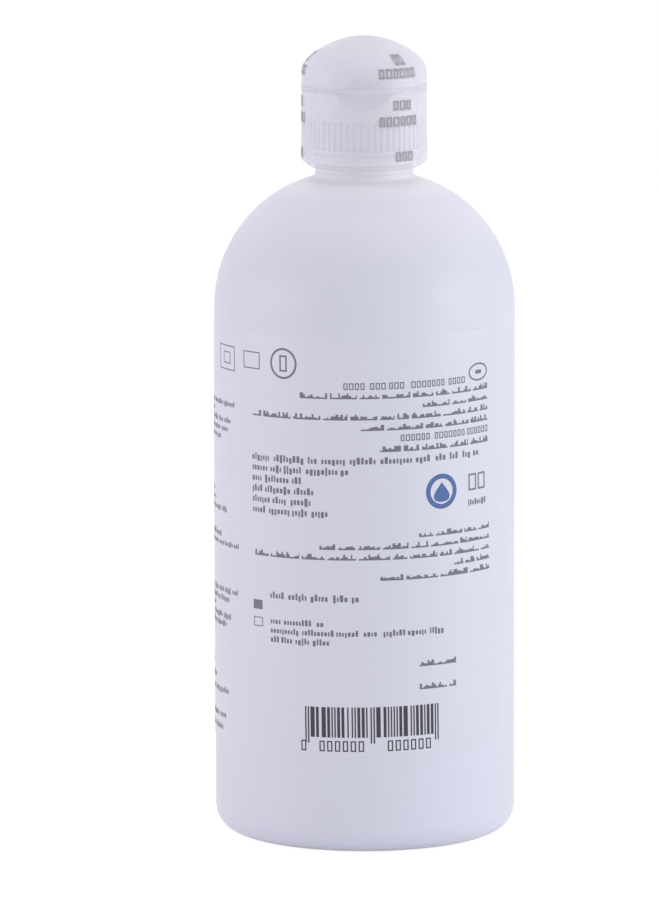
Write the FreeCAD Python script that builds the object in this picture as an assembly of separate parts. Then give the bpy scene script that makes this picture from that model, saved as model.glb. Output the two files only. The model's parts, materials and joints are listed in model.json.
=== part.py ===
"""Lens solution bottle: a blow-moulded bottle with a screwed-on flip-top cap, sealed by a clear shrink sleeve.

Millimetres. The origin is on the bottle's axis at the plane it stands on, and +Z is up.
The front is -Y, where the cap has its thumb scoop. The lid's hinge is at the back, at +Y.
"""
import FreeCAD
import Part

import math
import os

Vector = FreeCAD.Vector
ORIGIN = Vector(0, 0, 0)
UP = Vector(0, 0, 1)
ACROSS = Vector(1, 0, 0)

# Bottle
body_radius = 35.0
body_wall = 1.1
straight_top = 123.6
shoulder_radius = 31.2
base_corner_radius = 5.8
foot_ring_width = 5.0
base_push_up = 3.0

# Bottle neck and its thread
neck_radius = 11.4
neck_wall = 2.6
neck_height = 16.0
neck_fillet = 1.5
thread_pitch = 3.175
thread_turns = 1.5
thread_depth = 0.9
thread_root_width = 2.2
thread_crest_width = 1.0
thread_drop = 4.2
thread_sink = 0.3

# Nozzle insert, pressed into the neck
plug_clearance = 0.05
plug_depth = 8.0
plug_wall = 0.9
plug_lead_in = 0.5
nozzle_flange_setback = 0.6
nozzle_flange_thickness = 1.1
spout_base_radius = 4.8
spout_tip_radius = 2.5
spout_height = 7.0
spout_wall = 1.7
orifice_radius = 0.9
orifice_length = 1.4
orifice_seat_radius = 1.8
orifice_seat_depth = 1.0

# Sealing washer between the nozzle's flange and the cap's deck
washer_thickness = 1.0
washer_hole_setback = 0.6

# Cap base
cap_wall = 1.8
cap_taper = 0.0065
cap_shoulder_gap = 3.86
cap_edge_fillet = 0.8
cap_thread_clearance = 0.4
cap_thread_depth = 0.95
cap_thread_turns = 1.25
cap_thread_root_width = 1.9
cap_thread_crest_width = 0.8
deck_thickness = 1.4
deck_hole_clearance = 0.4
rim_rise = 1.56
collar_rise = 1.0
collar_wall = 1.2
collar_clearance = 0.3
flute_count = 60
flute_radius = 0.6
flute_depth = 0.35
flute_start = 3.5
flute_length = 6.6
rim_groove_height = 2.3
rim_groove_depth = 0.25
rim_groove_half_width = 0.3

# Flip lid
parting_gap = 0.15
lid_side_height = 4.9
lid_dome_height = 6.8
lid_corner_fillet = 5.0
lid_wall = 1.65
seal_post_radius = 2.3
seal_gap = 0.15

# Thumb scoop, shared by the lid and the cap base
scoop_radius = 6.2
lid_scoop_depth = 0.9
base_scoop_depth = 1.5

# Living hinge
hinge_inset = 0.77
hinge_web_thickness = 0.3
hinge_web_height = 2.6
hinge_web_inner_x = 1.9
hinge_web_outer_x = 3.8
hinge_neck_radius = 0.12
hinge_neck_sink = 0.02
hinge_strap_half_width = 1.4
hinge_strap_thickness = 0.35
hinge_strap_height = 7.0
hinge_flat_drop = 5.0

# Shrink sleeve
film_thickness = 0.12
film_gap = 0.1
film_top_radius = 9.0
film_curl_angle = 37.0
film_thread_clearance = 0.15
hinge_film_drop = 4.6
hinge_film_margin = 0.35

# Wrap label, measured round the bottle from the front towards +X
label_thickness = 0.1
label_adhesive = 0.05
label_bottom = 23.0
label_top = 120.7
label_edge_angle = 65.0
label_gap_angle = 30.0

# Levels and places that follow from the sizes above
shoulder_axis = body_radius - shoulder_radius
neck_base = straight_top + math.sqrt(shoulder_radius**2 - (neck_radius - shoulder_axis) ** 2)
neck_top = neck_base + neck_height
flange_top = neck_top + nozzle_flange_thickness
spout_top = flange_top + spout_height
deck_under = flange_top + washer_thickness
deck_top = deck_under + deck_thickness
parting = deck_top + rim_rise
cap_bottom = neck_base + cap_shoulder_gap
lid_bottom = parting + parting_gap
lid_corner = parting + lid_side_height

neck_bore_radius = neck_radius - neck_wall
nozzle_flange_radius = neck_radius - nozzle_flange_setback
spout_channel_radius = spout_base_radius - spout_wall
deck_hole_radius = spout_base_radius + deck_hole_clearance
washer_radius = nozzle_flange_radius
washer_hole_radius = deck_hole_radius + washer_hole_setback
thread_crest_radius = neck_radius + thread_depth
cap_bore_radius = thread_crest_radius + cap_thread_clearance
cap_radius = cap_bore_radius + cap_wall
thread_start = neck_top - thread_drop - thread_turns * thread_pitch
cap_thread_start = thread_start - thread_pitch / 2
cap_thread_lag = (thread_turns - cap_thread_turns) * 360.0
plug_radius = neck_bore_radius - plug_clearance


def cap_side(z, offset=0.0):
    """Radius of the cap's tapered side at a height, moved out by an offset."""
    return cap_radius - cap_taper * (z - cap_bottom) + offset * math.hypot(1.0, cap_taper)


corner_radius = cap_side(lid_corner)
dome_radius = (corner_radius**2 + lid_dome_height**2) / (2 * lid_dome_height)
dome_centre = lid_corner + lid_dome_height - dome_radius
lid_inner_radius = cap_side(parting) - lid_wall
collar_radius = lid_inner_radius - collar_clearance
hinge_axis_y = cap_side(parting) - hinge_inset
hinge_axis_z = parting + parting_gap / 2
hinge_flat_y = hinge_axis_y - hinge_web_thickness / 2
film_outer = film_gap + film_thickness
hinge_film_half_width = (
    math.sqrt(cap_side(parting, film_outer) ** 2 - hinge_axis_y**2) + hinge_film_margin
)
hinge_film_top = (
    dome_centre + math.sqrt((dome_radius + film_outer) ** 2 - hinge_axis_y**2) + hinge_film_margin
)


def on_circle(centre, radius, towards):
    """The point of a circle that lies in the direction of another point, all as (radius, height)."""
    reach = math.hypot(towards[0] - centre[0], towards[1] - centre[1])
    scale = radius / reach
    return (
        centre[0] + (towards[0] - centre[0]) * scale,
        centre[1] + (towards[1] - centre[1]) * scale,
    )


def arc_to(centre, end):
    """A step of an outline: an arc under a half circle about a centre, to an end point."""
    return ("arc", centre, end)


def outline_face(start, *steps):
    """A face in the XZ plane from (radius, height) points. A step is a point to go straight to, or an arc_to."""
    edges = []
    here = start
    for step in steps + (start,):
        if step[0] == "arc":
            centre, end = step[1], step[2]
            middle_of_chord = ((here[0] + end[0]) / 2, (here[1] + end[1]) / 2)
            radius = math.hypot(here[0] - centre[0], here[1] - centre[1])
            middle = on_circle(centre, radius, middle_of_chord)
            points = [Vector(r, 0, z) for r, z in (here, middle, end)]
            edges.append(Part.Arc(*points).toShape())
        else:
            end = step
            edges.append(Part.LineSegment(Vector(here[0], 0, here[1]), Vector(end[0], 0, end[1])).toShape())
        here = end
    return Part.Face(Part.Wire(edges))


def turned(start, *steps):
    """A solid turned about the bottle's axis from an outline."""
    return outline_face(start, *steps).revolve(ORIGIN, UP, 360)


def helical_ridge(root_radius, crest_radius, sink, root_width, crest_width, start, turns, lag):
    """A right-hand thread ridge with a trapezoid section, its root sunk into the wall that carries it."""
    outward = 1.0 if crest_radius > root_radius else -1.0
    sunk_radius = root_radius - outward * sink
    slope = (root_width - crest_width) / abs(crest_radius - root_radius)
    sunk_width = root_width + slope * sink
    section = [
        (sunk_radius, start - sunk_width / 2),
        (crest_radius, start - crest_width / 2),
        (crest_radius, start + crest_width / 2),
        (sunk_radius, start + sunk_width / 2),
    ]
    points = [Vector(r, 0, z) for r, z in section]
    profile = Part.makePolygon(points + points[:1])
    spine = Part.makeHelix(thread_pitch, turns * thread_pitch, root_radius)
    spine.translate(Vector(0, 0, start))
    ridge = Part.Wire(spine.Edges).makePipeShell([profile], True, True)
    ridge.rotate(ORIGIN, UP, lag)
    return ridge


def box_between(low, high):
    """A box from its lowest to its highest corner."""
    size = [h - l for l, h in zip(low, high)]
    return Part.makeBox(*size, Vector(*low))


def make_bottle():
    """Blow-moulded shell with a pushed-up base, a round shoulder and a threaded neck."""
    wall = body_wall
    corner_axis = (body_radius - base_corner_radius, base_corner_radius)
    foot_inner = body_radius - base_corner_radius - foot_ring_width
    push_up_radius = (foot_inner**2 + base_push_up**2) / (2 * base_push_up)
    push_up_axis = (0.0, base_push_up - push_up_radius)
    inner_foot = math.sqrt((push_up_radius + wall) ** 2 - (wall - push_up_axis[1]) ** 2)
    shoulder_centre = (shoulder_axis, straight_top)
    inner_shoulder_radius = shoulder_radius - wall
    bore_start = straight_top + math.sqrt(
        inner_shoulder_radius**2 - (neck_bore_radius - shoulder_axis) ** 2
    )
    fillet_axis_r = neck_radius + neck_fillet
    fillet_axis = (
        fillet_axis_r,
        straight_top
        + math.sqrt((shoulder_radius + neck_fillet) ** 2 - (fillet_axis_r - shoulder_axis) ** 2),
    )
    shell = turned(
        (0.0, base_push_up),
        arc_to(push_up_axis, (foot_inner, 0.0)),
        (corner_axis[0], 0.0),
        arc_to(corner_axis, (body_radius, base_corner_radius)),
        (body_radius, straight_top),
        arc_to(shoulder_centre, on_circle(shoulder_centre, shoulder_radius, fillet_axis)),
        arc_to(fillet_axis, (neck_radius, fillet_axis[1])),
        (neck_radius, neck_top),
        (neck_bore_radius, neck_top),
        (neck_bore_radius, bore_start),
        arc_to(shoulder_centre, (body_radius - wall, straight_top)),
        (body_radius - wall, base_corner_radius),
        arc_to(corner_axis, (corner_axis[0], wall)),
        (inner_foot, wall),
        arc_to(push_up_axis, (0.0, base_push_up + wall)),
    )
    thread = helical_ridge(
        neck_radius,
        thread_crest_radius,
        thread_sink,
        thread_root_width,
        thread_crest_width,
        thread_start,
        thread_turns,
        0.0,
    )
    return shell.fuse(thread)


def make_nozzle_insert():
    """Drop nozzle: a hollow plug in the neck, a flange on its top face, and a spout with a seat round its orifice."""
    plug_inner = plug_radius - plug_wall
    plug_bottom = neck_top - plug_depth
    seat_bottom = spout_top - orifice_seat_depth
    return turned(
        (plug_inner, plug_bottom),
        (plug_radius - plug_lead_in, plug_bottom),
        (plug_radius, plug_bottom + plug_lead_in),
        (plug_radius, neck_top),
        (nozzle_flange_radius, neck_top),
        (nozzle_flange_radius, flange_top),
        (spout_base_radius, flange_top),
        (spout_tip_radius, spout_top),
        (orifice_seat_radius, spout_top),
        (orifice_radius, seat_bottom),
        (orifice_radius, seat_bottom - orifice_length),
        (spout_channel_radius, neck_top),
        (plug_inner, neck_top),
    )


def make_sealing_washer():
    """Flat foam ring that the cap presses on the nozzle's flange."""
    return turned(
        (washer_hole_radius, flange_top),
        (washer_radius, flange_top),
        (washer_radius, deck_under),
        (washer_hole_radius, deck_under),
    )


def thumb_scoop(depth):
    """Round bar across the front of the cap, at the parting line, that cuts a scoop of a given depth."""
    bar_y = -(cap_side(parting) + scoop_radius - depth)
    length = 2 * cap_radius
    return Part.makeCylinder(scoop_radius, length, Vector(-length / 2, bar_y, parting), ACROSS)


def hinge_flat_cut(low, high):
    """Block behind the hinge's flat, between two heights."""
    return box_between((-cap_radius, hinge_flat_y, low), (cap_radius, 2 * cap_radius, high))


def grip_flutes():
    """Upright grooves round the cap base."""
    start = cap_bottom + flute_start
    middle = start + flute_length / 2
    reach = cap_side(middle) + flute_radius - flute_depth
    flute = Part.makeCylinder(flute_radius, flute_length, Vector(reach, 0, start), UP)
    flutes = []
    for index in range(flute_count):
        copy = flute.copy()
        copy.rotate(ORIGIN, UP, (index + 0.5) * 360.0 / flute_count)
        flutes.append(copy)
    return flutes


def make_cap_base():
    """Threaded skirt with a deck round the spout, a snap collar, grip flutes and half of the thumb scoop."""
    edge_axis_z = cap_bottom + cap_edge_fillet
    edge_axis_r = cap_side(edge_axis_z) - cap_edge_fillet
    groove = cap_bottom + rim_groove_height
    groove_low = groove - rim_groove_half_width
    groove_high = groove + rim_groove_half_width
    collar_top = parting + collar_rise
    collar_inner = collar_radius - collar_wall
    body = turned(
        (cap_bore_radius, cap_bottom),
        (edge_axis_r, cap_bottom),
        arc_to((edge_axis_r, edge_axis_z), (cap_side(edge_axis_z), edge_axis_z)),
        (cap_side(groove_low), groove_low),
        (cap_side(groove) - rim_groove_depth, groove),
        (cap_side(groove_high), groove_high),
        (cap_side(parting), parting),
        (collar_radius, parting),
        (collar_radius, collar_top),
        (collar_inner, collar_top),
        (collar_inner, deck_top),
        (deck_hole_radius, deck_top),
        (deck_hole_radius, deck_under),
        (cap_bore_radius, deck_under),
    )
    cuts = grip_flutes()
    cuts.append(thumb_scoop(base_scoop_depth))
    cuts.append(hinge_flat_cut(parting - hinge_flat_drop, parting))
    thread = helical_ridge(
        cap_bore_radius,
        cap_bore_radius - cap_thread_depth,
        thread_sink,
        cap_thread_root_width,
        cap_thread_crest_width,
        cap_thread_start + cap_thread_lag / 360.0 * thread_pitch,
        cap_thread_turns,
        cap_thread_lag,
    )
    return body.cut(cuts).fuse(thread)


def dome_outline(offset):
    """Points of the lid's outside moved out by an offset: end of its side, fillet's axis, start of its dome."""
    fillet = lid_corner_fillet
    side_at_zero = cap_side(0.0, -fillet)
    a = 1.0 + cap_taper**2
    b = -2.0 * (side_at_zero * cap_taper + dome_centre)
    c = side_at_zero**2 + dome_centre**2 - (dome_radius - fillet) ** 2
    axis_z = (-b + math.sqrt(b * b - 4 * a * c)) / (2 * a)
    axis = (cap_side(axis_z, -fillet), axis_z)
    reach = (fillet + offset) / math.hypot(1.0, cap_taper)
    side_end = (axis[0] + reach, axis[1] + reach * cap_taper)
    dome_start = on_circle((0.0, dome_centre), dome_radius + offset, axis)
    return side_end, axis, dome_start


def make_flip_lid():
    """Domed lid with a post whose cone closes the orifice."""
    side_end, fillet_axis, dome_start = dome_outline(0.0)
    centre = (0.0, dome_centre)
    inner_dome_radius = dome_radius - lid_wall
    inner_corner = dome_centre + math.sqrt(inner_dome_radius**2 - lid_inner_radius**2)
    post_top = dome_centre + math.sqrt(inner_dome_radius**2 - seal_post_radius**2)
    seal = spout_top + seal_gap
    body = turned(
        (lid_inner_radius, lid_bottom),
        (lid_inner_radius, inner_corner),
        arc_to(centre, (seal_post_radius, post_top)),
        (seal_post_radius, seal),
        (orifice_seat_radius, seal),
        (orifice_radius, seal - orifice_seat_depth),
        (0.0, seal - orifice_seat_depth),
        (0.0, dome_centre + dome_radius),
        arc_to(centre, dome_start),
        arc_to(fillet_axis, side_end),
        (cap_side(lid_bottom), lid_bottom),
    )
    lid_top = dome_centre + dome_radius
    return body.cut([thumb_scoop(lid_scoop_depth), hinge_flat_cut(lid_bottom, lid_top)])


def make_hinge_webs():
    """Two thin webs, each thinned to a round neck on the hinge's axis, where it bends."""
    leaf_end = hinge_neck_radius - hinge_neck_sink
    back = hinge_flat_y + hinge_web_thickness
    width = hinge_web_outer_x - hinge_web_inner_x
    webs = []
    for left in (-hinge_web_outer_x, hinge_web_inner_x):
        right = left + width
        lower = box_between(
            (left, hinge_flat_y, parting - hinge_web_height / 2), (right, back, hinge_axis_z - leaf_end)
        )
        upper = box_between(
            (left, hinge_flat_y, hinge_axis_z + leaf_end), (right, back, lid_bottom + hinge_web_height / 2)
        )
        neck = Part.makeCylinder(
            hinge_neck_radius, width, Vector(left, hinge_axis_y, hinge_axis_z), ACROSS
        )
        webs.append(neck.fuse([lower, upper]))
    return Part.makeCompound(webs)


def make_hinge_strap():
    """The longer strap between the webs that snaps the lid open."""
    return box_between(
        (-hinge_strap_half_width, hinge_flat_y, parting - hinge_strap_height / 2),
        (hinge_strap_half_width, hinge_flat_y + hinge_strap_thickness, lid_bottom + hinge_strap_height / 2),
    )


def upper_film():
    """All of the sleeve above the parting line, from the lid's lower edge to its opening on the dome."""
    inner_end, fillet_axis, inner_dome = dome_outline(film_gap)
    outer_end, _, outer_dome = dome_outline(film_outer)
    centre = (0.0, dome_centre)
    rims = [
        (film_top_radius, dome_centre + math.sqrt((dome_radius + offset) ** 2 - film_top_radius**2))
        for offset in (film_gap, film_outer)
    ]
    return turned(
        (cap_side(lid_bottom, film_gap), lid_bottom),
        (cap_side(lid_bottom, film_outer), lid_bottom),
        outer_end,
        arc_to(fillet_axis, outer_dome),
        arc_to(centre, rims[1]),
        rims[0],
        arc_to(centre, inner_dome),
        arc_to(fillet_axis, inner_end),
    )


def lower_film():
    """All of the sleeve below the parting line, drawn in under the cap's lower edge."""
    edge_axis_z = cap_bottom + cap_edge_fillet
    edge_axis = (cap_side(edge_axis_z) - cap_edge_fillet, edge_axis_z)
    curl = math.radians(film_curl_angle)
    inner, outer = [cap_edge_fillet + offset for offset in (film_gap, film_outer)]
    out_r, out_z = math.sin(curl), -math.cos(curl)
    curl_starts = [(edge_axis[0] + reach * out_r, edge_axis[1] + reach * out_z) for reach in (inner, outer)]
    curl_reach = curl_starts[0][0] - thread_crest_radius - film_thread_clearance
    curl_drop = curl_reach * math.tan(curl)
    curl_ends = [(r - curl_reach, z - curl_drop) for r, z in curl_starts]
    return turned(
        curl_ends[0],
        curl_ends[1],
        curl_starts[1],
        arc_to(edge_axis, (edge_axis[0] + outer, edge_axis_z)),
        (cap_side(parting, film_outer), parting),
        (cap_side(parting, film_gap), parting),
        (edge_axis[0] + inner, edge_axis_z),
        arc_to(edge_axis, curl_starts[0]),
    )


def hinge_window(low, high):
    """The block of the sleeve's back that folds with the hinge, between two heights."""
    return box_between(
        (-hinge_film_half_width, 0.0, low),
        (hinge_film_half_width, 2 * cap_radius, high),
    )


def make_sleeve_upper():
    """The sleeve's upper part, shrunk on the lid, without the patch that covers the hinge."""
    return upper_film().cut(hinge_window(lid_bottom, hinge_film_top))


def make_sleeve_lower():
    """The sleeve's lower part, shrunk on the cap base, without the patch that covers the hinge."""
    return lower_film().cut(hinge_window(parting - hinge_film_drop, parting))


def make_sleeve_hinge_film():
    """The patch of film over the hinge, which folds when the lid opens."""
    above = upper_film().common(hinge_window(lid_bottom, hinge_film_top))
    below = lower_film().common(hinge_window(parting - hinge_film_drop, parting))
    bridge = turned(
        (cap_side(parting, film_gap), parting),
        (cap_side(parting, film_outer), parting),
        (cap_side(lid_bottom, film_outer), lid_bottom),
        (cap_side(lid_bottom, film_gap), lid_bottom),
    ).common(hinge_window(parting, lid_bottom))
    return above.fuse([bridge, below]).removeSplitter()


def make_wrap_label():
    """Adhesive film label round the straight side, with a bare strip between its ends."""
    inner = body_radius + label_adhesive
    outer = inner + label_thickness
    strip = outline_face((inner, label_bottom), (outer, label_bottom), (outer, label_top), (inner, label_top))
    label = strip.revolve(ORIGIN, UP, 360.0 - label_gap_angle)
    front_angle = -90.0
    label.rotate(ORIGIN, UP, front_angle + label_edge_angle + label_gap_angle)
    return label


PIECES = {
    "bottle": make_bottle,
    "nozzle_insert": make_nozzle_insert,
    "sealing_washer": make_sealing_washer,
    "cap_base": make_cap_base,
    "flip_lid": make_flip_lid,
    "hinge_webs": make_hinge_webs,
    "hinge_strap": make_hinge_strap,
    "sleeve_upper": make_sleeve_upper,
    "sleeve_lower": make_sleeve_lower,
    "sleeve_hinge_film": make_sleeve_hinge_film,
    "wrap_label": make_wrap_label,
}


def main():
    os.makedirs("parts", exist_ok=True)
    for name, make in PIECES.items():
        shape = make()
        shape.exportStep(f"parts/{name}.step")
        print(f"{name}: {len(shape.Solids)} solids, {shape.Volume:.1f} mm3, valid {shape.isValid()}")


main()
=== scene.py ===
"""Looks of the lens solution bottle: materials, printed label and sleeve, hinge, light and camera.

Metres, in the CAD model's frame. The front is -Y.
Angles round the bottle are in degrees, from the front towards +X.
"""
import json
import math
import random

import bmesh
import bpy
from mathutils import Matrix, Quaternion, Vector


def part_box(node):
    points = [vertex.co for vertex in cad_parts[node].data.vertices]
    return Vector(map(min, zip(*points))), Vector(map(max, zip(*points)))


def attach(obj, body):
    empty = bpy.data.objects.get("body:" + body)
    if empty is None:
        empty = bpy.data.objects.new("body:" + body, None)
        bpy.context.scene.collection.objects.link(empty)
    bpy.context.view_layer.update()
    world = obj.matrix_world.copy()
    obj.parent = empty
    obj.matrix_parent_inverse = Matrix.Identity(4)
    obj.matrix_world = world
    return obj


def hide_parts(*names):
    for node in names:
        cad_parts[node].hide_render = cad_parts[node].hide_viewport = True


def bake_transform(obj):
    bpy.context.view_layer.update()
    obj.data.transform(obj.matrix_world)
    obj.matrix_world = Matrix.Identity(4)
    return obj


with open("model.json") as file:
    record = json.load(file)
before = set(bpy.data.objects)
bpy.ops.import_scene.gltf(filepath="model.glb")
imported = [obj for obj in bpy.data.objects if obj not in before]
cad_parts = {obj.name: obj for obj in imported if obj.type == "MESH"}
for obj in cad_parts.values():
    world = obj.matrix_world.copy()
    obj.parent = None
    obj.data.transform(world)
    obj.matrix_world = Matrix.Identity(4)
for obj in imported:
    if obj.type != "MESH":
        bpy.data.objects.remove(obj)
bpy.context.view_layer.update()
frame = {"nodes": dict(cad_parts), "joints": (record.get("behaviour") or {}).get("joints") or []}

MM = 0.001
FAR_OUT = 0.1
SHARP_ANGLE = 40.0

# Places taken from the CAD model
LABEL_LOW, LABEL_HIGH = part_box("wrap_label")
LABEL_RADIUS = LABEL_HIGH[1]
LABEL_BOTTOM, LABEL_TOP = LABEL_LOW[2], LABEL_HIGH[2]
CAP_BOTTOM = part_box("cap_base")[0][2]
LID_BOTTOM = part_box("flip_lid")[0][2]
FILM_LOW, FILM_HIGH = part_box("sleeve_lower")
FILM_RADIUS = FILM_HIGH[0]
FILM_BOTTOM, PARTING = FILM_LOW[2], FILM_HIGH[2]
FILM_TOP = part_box("sleeve_upper")[1][2]
SEAM = (PARTING + LID_BOTTOM) / 2
PATCH_LOW, PATCH_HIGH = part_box("sleeve_hinge_film")
HINGE = next(joint for joint in frame["joints"] if joint["name"] == "lid_flip")["pos_m"]


def polar(angle, radius, z):
    """A point round the bottle's axis."""
    turn = math.radians(angle)
    return Vector((radius * math.sin(turn), -radius * math.cos(turn), z))


def outer_radius(node_name, angle, z):
    """How far out a CAD piece reaches at an angle and height."""
    start = polar(angle, FAR_OUT, z)
    hit, place, _, _ = frame["nodes"][node_name].ray_cast(start, polar(angle, -1.0, 0.0))
    if not hit:
        raise ValueError(f"{node_name} has no surface at {angle} degrees, {z} m")
    return math.hypot(place.x, place.y)


def smoothstep(value, low, high):
    t = min(1.0, max(0.0, (value - low) / (high - low)))
    return t * t * (3 - 2 * t)


def grid_faces(columns, rows):
    """Faces between points that are listed column by column."""
    faces = []
    for column in range(columns - 1):
        for row in range(rows - 1):
            a = column * rows + row
            b = a + rows
            faces.append((a, b, b + 1, a + 1))
    return faces


def link(name, verts, faces, material, sharp_angle=SHARP_ANGLE):
    """A new smooth mesh object with one material, whose sharp edges stay sharp."""
    mesh = bpy.data.meshes.new(name)
    mesh.from_pydata([tuple(v) for v in verts], [], faces)
    mesh.materials.append(material)
    work = bmesh.new()
    work.from_mesh(mesh)
    for face in work.faces:
        face.smooth = True
    for edge in work.edges:
        edge.smooth = len(edge.link_faces) == 2 and edge.calc_face_angle() < math.radians(sharp_angle)
    work.to_mesh(mesh)
    work.free()
    obj = bpy.data.objects.new(name, mesh)
    bpy.context.scene.collection.objects.link(obj)
    return obj


def shell(verts, faces, thickness):
    """A thin closed sheet: the given outer face, an inner one nearer the axis, and the rim between them."""
    count = len(verts)
    inner = []
    for v in verts:
        reach = math.hypot(v.x, v.y)
        scale = (reach - thickness) / reach
        inner.append(Vector((v.x * scale, v.y * scale, v.z)))
    edges = dict.fromkeys((a, b) for face in faces for a, b in zip(face, face[1:] + face[:1]))
    rim = [(b, a, a + count, b + count) for a, b in edges if (b, a) not in edges]
    back = [tuple(index + count for index in reversed(face)) for face in faces]
    return list(verts) + inner, list(faces) + back + rim


# Colours

BOTTLE_COLOUR = (0.738, 0.738, 0.852)
CAP_COLOUR = (0.842, 0.823, 0.894)
CAP_LIP_PAINTED_LIGHT = (0.98, 0.965, 1.0)
NOZZLE_COLOUR = (0.76, 0.77, 0.82)
FOAM_COLOUR = (0.8, 0.8, 0.77)
FILM_COLOUR = (0.93, 0.91, 0.965)
CURL_PAINTED_LIGHT = (1.0, 0.985, 1.0)
LABEL_COLOUR = (0.75, 0.748, 0.848)
INK_COLOUR = (0.195, 0.19, 0.24)
BAR_COLOUR = (0.055, 0.053, 0.068)
BLUE_COLOUR = (0.085, 0.155, 0.38)
PALE_BLUE_COLOUR = (0.42, 0.5, 0.74)
SLEEVE_INK_COLOUR = (0.36, 0.355, 0.385)

# Painted light and shade: heights where the bottle's neck, the cap's lower lip and the film's curl under the
# cap are painted whiter, to lighten the shade at the neck's foot and under the cap
NECK_LIGHT_BLEND = (CAP_BOTTOM - 22.0 * MM, CAP_BOTTOM - 6.0 * MM)
# Painted light and shade up the neck: whiter at its foot and just under the cap, where shade falls, and
# darker between
PAINTED_NECK_LIGHT = (
    (CAP_BOTTOM - 8.0 * MM, (0.855, 0.835, 0.945)),
    (CAP_BOTTOM - 4.3 * MM, (0.97, 0.955, 1.0)),
    (CAP_BOTTOM - 2.4 * MM, (0.76, 0.745, 0.825)),
    (CAP_BOTTOM - 0.9 * MM, (1.0, 0.985, 1.0)),
)
CAP_LIP_REACH = (CAP_BOTTOM, CAP_BOTTOM + 1.2 * MM)
CURL_REACH = (CAP_BOTTOM - 0.3 * MM, CAP_BOTTOM + 0.5 * MM)


def tint(colour, factor):
    return tuple(channel * factor for channel in colour)


# Materials. Scales of noise are in features to the metre.

# Detail of noise
FINE = 4.0
MEDIUM = 3.0
SOFT = 2.0
# Sockets of a Mix node that mixes colours
MIX_INPUTS = (0, 6, 7)
MIX_OUTPUT = 2


class Nodes:
    """A material's node tree with short calls to add and link nodes."""

    def __init__(self, name):
        self.material = bpy.data.materials.new(name)
        self.material.use_nodes = True
        self.tree = self.material.node_tree
        self.shader = self.tree.nodes["Principled BSDF"]
        self.place = self.add("ShaderNodeTexCoord").outputs["Object"]

    def add(self, kind, **inputs):
        node = self.tree.nodes.new(kind)
        for key, value in inputs.items():
            self.plug(node.inputs[key.replace("_", " ")], value)
        return node

    def plug(self, socket, value):
        if isinstance(value, bpy.types.NodeSocket):
            self.tree.links.new(value, socket)
        else:
            socket.default_value = value

    def set(self, **values):
        for key, value in values.items():
            self.plug(self.shader.inputs[key.replace("_", " ")], value)

    def noise(self, scale, detail=MEDIUM, where=None):
        node = self.add("ShaderNodeTexNoise", Vector=where or self.place, Scale=scale, Detail=detail)
        return node.outputs["Fac"]

    def stretched_noise(self, scales, detail=MEDIUM):
        """Noise with a scale of its own along each axis."""
        where = self.add("ShaderNodeMapping", Vector=self.place, Scale=scales).outputs["Vector"]
        return self.noise(1.0, detail, where)

    def math(self, operation, *values):
        node = self.tree.nodes.new("ShaderNodeMath")
        node.operation = operation
        for socket, value in zip(node.inputs, values):
            self.plug(socket, value)
        return node.outputs[0]

    def ranged(self, value, low, high, start=0.0, stop=1.0):
        """A number that goes from low to high as a value goes from start to stop."""
        ends = {"From_Min": start, "From_Max": stop, "To_Min": low, "To_Max": high}
        return self.add("ShaderNodeMapRange", Value=value, **ends).outputs["Result"]

    def graded(self, value, stops):
        """A colour that changes with a value, from pairs of value and colour."""
        low, high = stops[0][0], stops[-1][0]
        ramp = self.add("ShaderNodeValToRGB", Fac=self.ranged(value, 0.0, 1.0, low, high))
        elements = ramp.color_ramp.elements
        while len(elements) < len(stops):
            elements.new(0.5)
        for element, (at, colour) in zip(elements, stops):
            element.position = (at - low) / (high - low)
            element.color = (*colour, 1.0)
        return ramp.outputs["Color"]

    def shades(self, value, *colours):
        """A colour from evenly spaced colours, picked by a value from 0 to 1."""
        last = len(colours) - 1
        return self.graded(value, [(index / last, colour) for index, colour in enumerate(colours)])

    def cloudy(self, colour, scale, darkest, lightest):
        """A colour that wavers between a darker and a lighter tint of it."""
        return self.shades(self.noise(scale, FINE), tint(colour, darkest), colour, tint(colour, lightest))

    def mixed(self, share, first, second):
        """A colour between two, by a share from 0 to 1."""
        node = self.tree.nodes.new("ShaderNodeMix")
        node.data_type = "RGBA"
        for index, value in zip(MIX_INPUTS, (share, first, second)):
            self.plug(node.inputs[index], value)
        return node.outputs[MIX_OUTPUT]

    def mixed_shaders(self, share, first, second):
        node = self.tree.nodes.new("ShaderNodeMixShader")
        for socket, value in zip(node.inputs, (share, first, second)):
            self.plug(socket, value)
        return node.outputs[0]

    def bump(self, height, distance, under=None):
        node = self.add("ShaderNodeBump", Height=height, Distance=distance)
        if under is not None:
            self.tree.links.new(under, node.inputs["Normal"])
        return node.outputs["Normal"]

    def height(self):
        """Height over the plane that the bottle stands on."""
        return self.add("ShaderNodeSeparateXYZ", Vector=self.place).outputs["Z"]

    def off_axis(self):
        """Distance from the bottle's axis."""
        split = self.add("ShaderNodeSeparateXYZ", Vector=self.place)
        flat = self.add("ShaderNodeCombineXYZ", X=split.outputs["X"], Y=split.outputs["Y"])
        length = self.tree.nodes.new("ShaderNodeVectorMath")
        length.operation = "LENGTH"
        self.tree.links.new(flat.outputs["Vector"], length.inputs[0])
        return length.outputs["Value"]


PLASTIC_IOR = 1.49
PLASTIC_SPECULAR = 0.4
CLOUD_SCALE = 55.0
CLOUD_TINTS = (0.97, 1.02)
GLOSS_SCALE = 240.0
GLOSS_SPREAD = 0.06
GRAIN_SCALE = 2400.0
GRAIN_DEPTH = 0.012 * MM


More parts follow.
